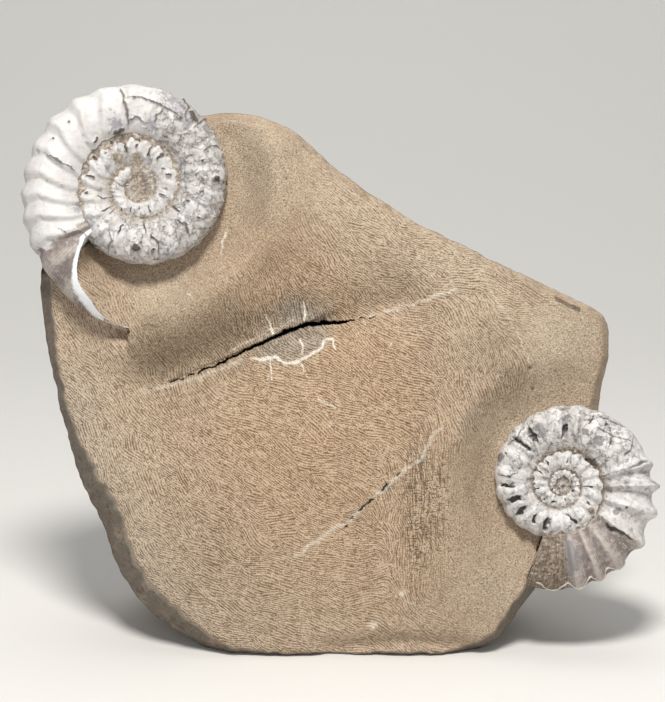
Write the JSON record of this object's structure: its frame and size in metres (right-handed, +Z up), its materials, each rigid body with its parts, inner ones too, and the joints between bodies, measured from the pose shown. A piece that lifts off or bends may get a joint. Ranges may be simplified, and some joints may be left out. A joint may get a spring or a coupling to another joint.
{
  "type": "fossil ammonite block",
  "caption": "Upright block of brown mudstone with two white ribbed ammonites prepared in relief on its face.",
  "frame": {"origin": "on the ground under the middle of the block's bounding box", "axes": "+X to the right as the prepared face is seen, +Y away from the viewer of the face, +Z up"},
  "size_m": [0.1201, 0.0457, 0.1061],
  "materials": {
    "mudstone": "dry matt brown mudstone, dressed with fine tool strokes",
    "calcite_shell": "pale calcite shell, matt to faintly polished"
  },
  "bodies": {
    "root": {"matrix": "mudstone", "ammonite_upper_left": "calcite_shell", "ammonite_lower_right": "calcite_shell"}
  },
  "joints": []
}
